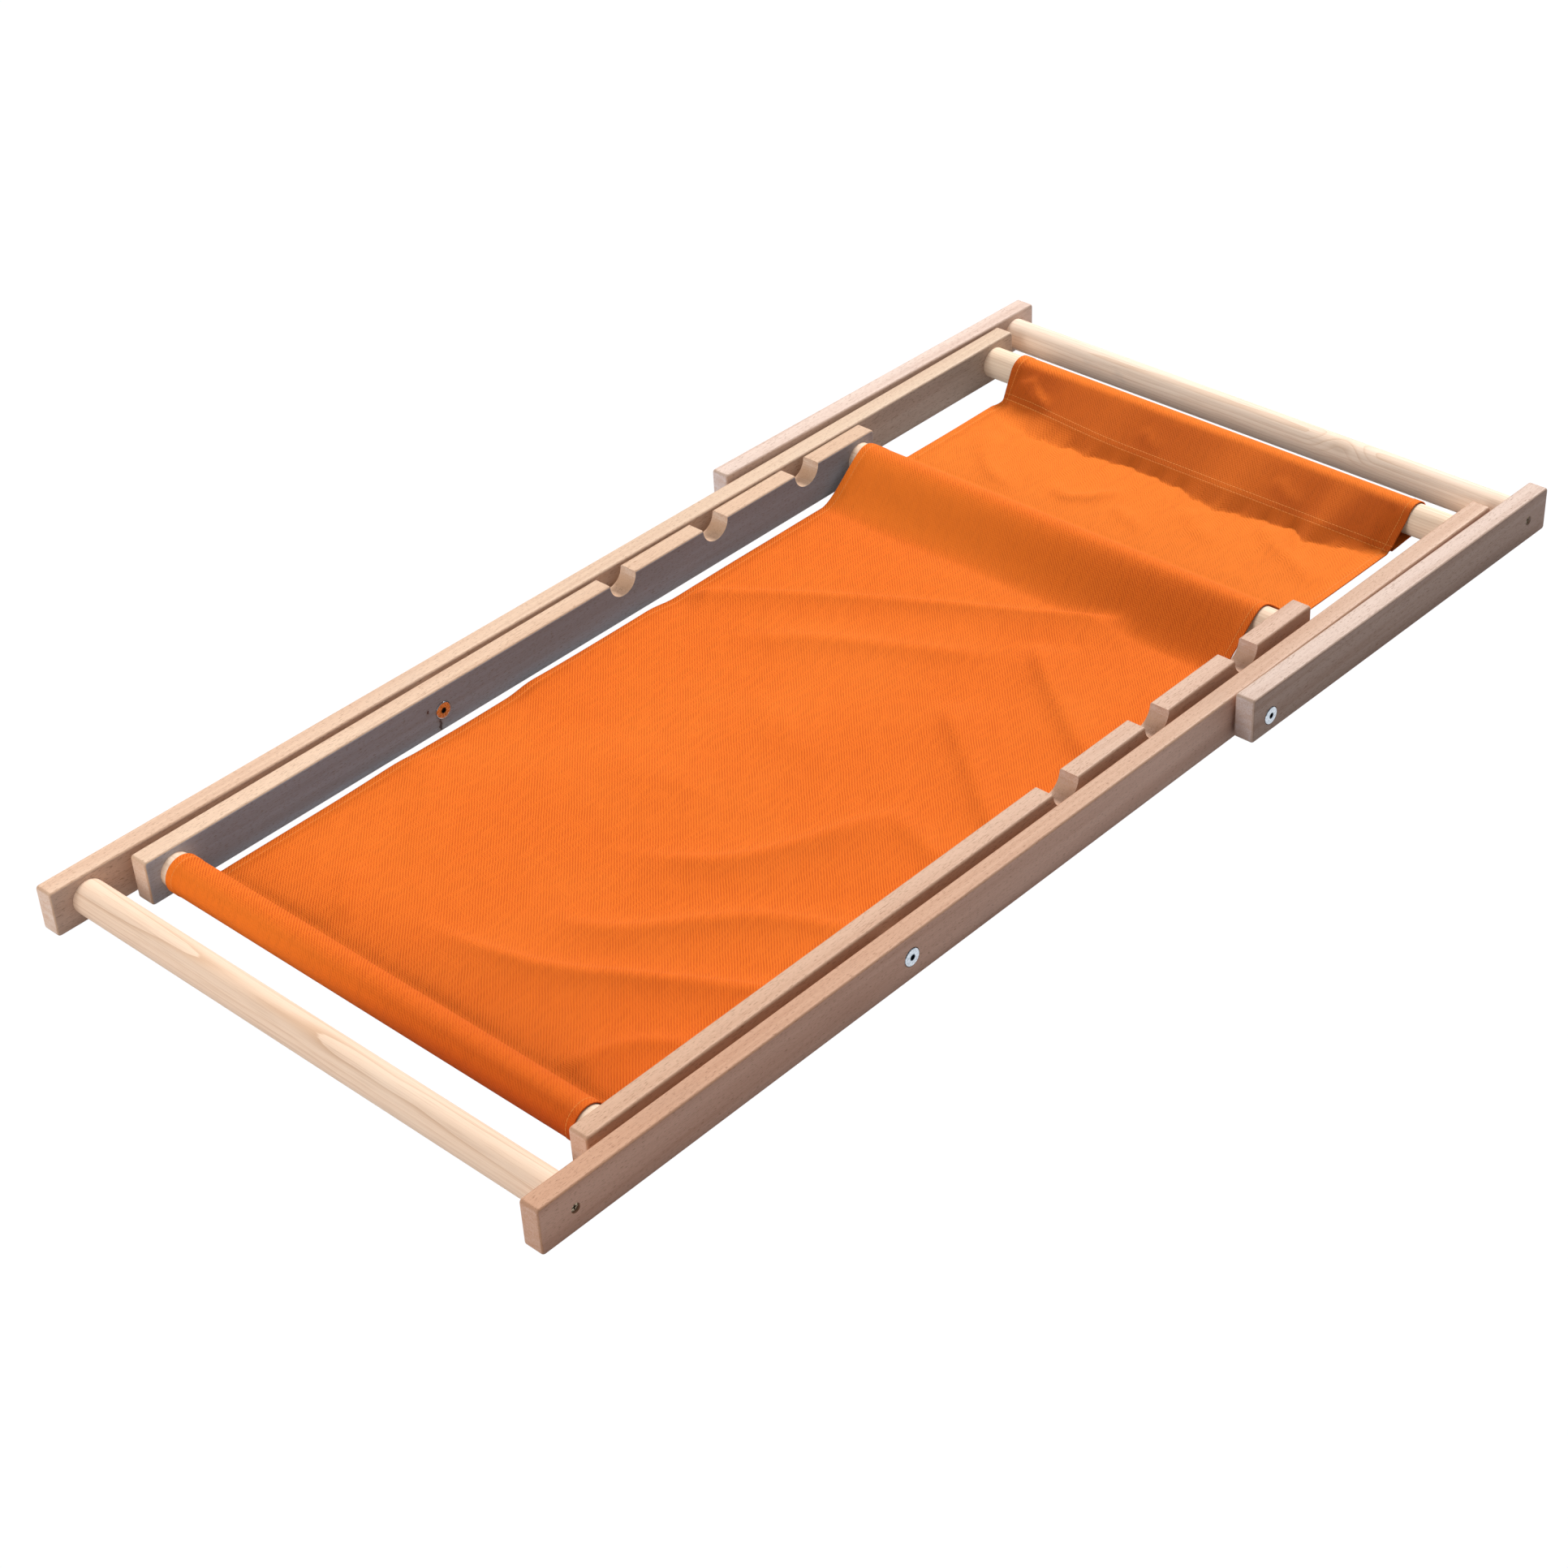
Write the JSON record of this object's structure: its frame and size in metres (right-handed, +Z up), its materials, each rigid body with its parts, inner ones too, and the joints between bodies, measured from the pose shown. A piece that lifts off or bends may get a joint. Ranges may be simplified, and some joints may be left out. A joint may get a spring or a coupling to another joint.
{
  "type": "folding deck chair",
  "caption": "Folding wooden deck chair laid flat: long back frame, notched seat frame and swing-out prop frame of rails and round bars, with a fabric sling.",
  "frame": {"origin": "bottom centre of the folded chair's bounding box, on the floor", "axes": "+X towards the head end, +Y towards the sitter's right, +Z up from the floor it lies on"},
  "size_m": [1.1702, 0.5832, 0.0453],
  "materials": {
    "beech": "planed, bare",
    "pine": "turned, bare",
    "canvas": "woven, matt",
    "zinc_steel": "zinc plated",
    "screw_steel": "dulled yellow plating",
    "nylon": "moulded"
  },
  "bodies": {
    "back_frame": {"back_rail_left": "beech", "back_rail_right": "beech", "back_foot_bar": "pine", "back_head_bar": "pine", "back_bar_screws": "screw_steel", "sling_back": "canvas", "main_pivot_bolt_left": "zinc_steel", "main_pivot_bolt_right": "zinc_steel", "main_pivot_nut_left": "zinc_steel", "main_pivot_nut_right": "zinc_steel", "main_pivot_spacer_left": "nylon", "main_pivot_spacer_right": "nylon", "prop_pivot_bolt_left": "zinc_steel", "prop_pivot_bolt_right": "zinc_steel", "prop_pivot_nut_left": "zinc_steel", "prop_pivot_nut_right": "zinc_steel", "prop_pivot_washer_left": "nylon", "prop_pivot_washer_right": "nylon"},
    "seat_frame": {"seat_rail_left": "beech", "seat_rail_right": "beech", "seat_front_bar": "pine", "seat_rear_bar": "pine", "seat_bar_screws": "screw_steel", "sling_seat": "canvas"},
    "prop_frame": {"prop_rail_left": "beech", "prop_rail_right": "beech", "prop_bar": "pine", "prop_bar_screws": "screw_steel"}
  },
  "joints": [
    {"name": "seat_fold", "type": "hinge", "parent": "back_frame", "child": "seat_frame", "pos_m": [-0.22012, 0, 0.02], "axis": [0, 1, 0], "range_deg": [0, 72.39]},
    {"name": "prop_swing", "type": "hinge", "parent": "back_frame", "child": "prop_frame", "pos_m": [0.18388, 0, 0.02], "axis": [0, 1, 0], "range_deg": [0, 149.48]}
  ]
}
